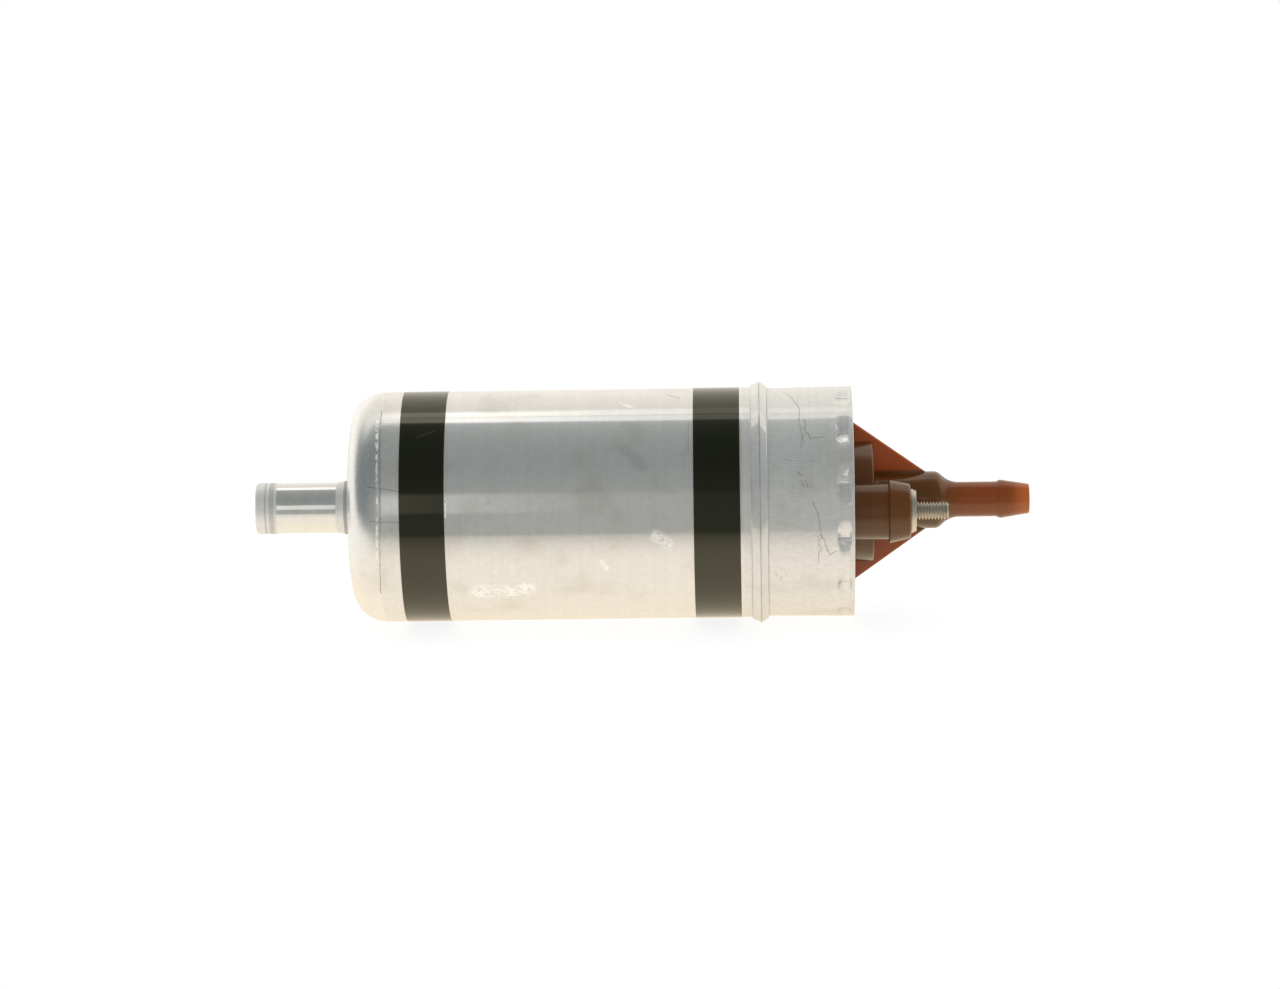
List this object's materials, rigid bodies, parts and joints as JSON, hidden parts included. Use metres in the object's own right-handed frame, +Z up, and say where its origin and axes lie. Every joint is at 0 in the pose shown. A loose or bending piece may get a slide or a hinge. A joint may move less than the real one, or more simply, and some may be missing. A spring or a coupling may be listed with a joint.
{
  "type": "fuel pump",
  "caption": "Electric in-line fuel pump: a round aluminium can with an inlet stub and black bands, and a crimped brown outlet cover with a barbed spout and threaded terminals.",
  "frame": {"origin": "on the pump's axis, in the middle of the barrel stretch between the two bands that a holding clamp grips", "axes": "+X along the pump's axis from the inlet stub to the outlet spout, +Z up, the near terminal towards -Y"},
  "size_m": [0.1749, 0.0544, 0.0544],
  "materials": {
    "satin_aluminium": "satin drawn aluminium",
    "band_film": "glossy black film",
    "brown_plastic": "semi-gloss brown plastic, slightly translucent",
    "nickel_steel": "nickel-plated steel",
    "steel": "ground steel",
    "sintered_iron": "sintered iron",
    "bronze": "sintered bronze",
    "copper": "enamelled copper",
    "ferrite": "ferrite magnet",
    "zinc_steel": "zinc-plated steel",
    "carbon": "carbon",
    "rubber": "fuel-proof rubber",
    "pale_plastic": "pale moulded plastic"
  },
  "bodies": {
    "housing": {"can": "satin_aluminium", "front_band": "band_film", "rear_band": "band_film", "end_cover": "brown_plastic", "cover_seal": "rubber", "near_stud": "nickel_steel", "far_stud": "nickel_steel", "near_contact_plate": "nickel_steel", "far_contact_plate": "nickel_steel", "upper_brush_lead": "copper", "lower_brush_lead": "copper", "bearing_holder": "pale_plastic", "rear_bush": "bronze", "front_bush": "bronze", "check_valve_seat": "pale_plastic", "check_valve_spring": "steel", "upper_brush_spring": "steel", "lower_brush_spring": "steel", "flux_ring": "zinc_steel", "upper_magnet": "ferrite", "lower_magnet": "ferrite", "magnet_clips": "steel", "port_plate": "sintered_iron", "race_ring": "sintered_iron", "inlet_plate": "sintered_iron", "pump_screws": "steel", "damper_ring": "rubber", "relief_valve_body": "steel", "relief_spring": "steel", "inlet_strainer": "pale_plastic"},
    "armature": {"shaft": "steel", "armature_core": "steel", "winding": "copper", "commutator": "copper", "commutator_hub": "pale_plastic", "thrust_washer": "pale_plastic", "drive_dog": "pale_plastic", "pump_rotor": "sintered_iron"},
    "rollers": {"pump_rollers": "steel"},
    "check_valve": {"check_valve_disc": "rubber", "check_valve_plunger": "pale_plastic"},
    "relief_valve": {"relief_ball": "steel"},
    "upper_brush_body": {"upper_brush": "carbon"},
    "lower_brush_body": {"lower_brush": "carbon"}
  },
  "joints": [
    {"name": "armature_spin", "type": "hinge", "parent": "housing", "child": "armature", "pos_m": [0, 0, 0], "axis": [1, 0, 0], "continuous": true},
    {"name": "rollers_orbit", "type": "hinge", "parent": "housing", "child": "rollers", "pos_m": [0, 0, 0.0008], "axis": [1, 0, 0], "continuous": true},
    {"name": "check_valve_lift", "type": "slide", "parent": "housing", "child": "check_valve", "axis": [1, 0, 0], "range_m": [0, 0.002], "stiffness_N_per_m": 300, "springref_m": -0.003, "deforming": ["check_valve_spring"]},
    {"name": "relief_valve_lift", "type": "slide", "parent": "housing", "child": "relief_valve", "axis": [-1, 0, 0], "range_m": [0, 0.0015], "stiffness_N_per_m": 1000, "springref_m": -0.002, "deforming": ["relief_spring"]},
    {"name": "upper_brush_slide", "type": "slide", "parent": "housing", "child": "upper_brush_body", "axis": [0, 0, 1], "range_m": [0, 0.002], "stiffness_N_per_m": 250, "springref_m": -0.006, "deforming": ["upper_brush_spring"]},
    {"name": "lower_brush_slide", "type": "slide", "parent": "housing", "child": "lower_brush_body", "axis": [0, 0, -1], "range_m": [0, 0.002], "stiffness_N_per_m": 250, "springref_m": -0.006, "deforming": ["lower_brush_spring"]}
  ],
  "couplings": [
    {"joint": "rollers_orbit", "follows": "armature_spin", "ratio": 1}
  ]
}
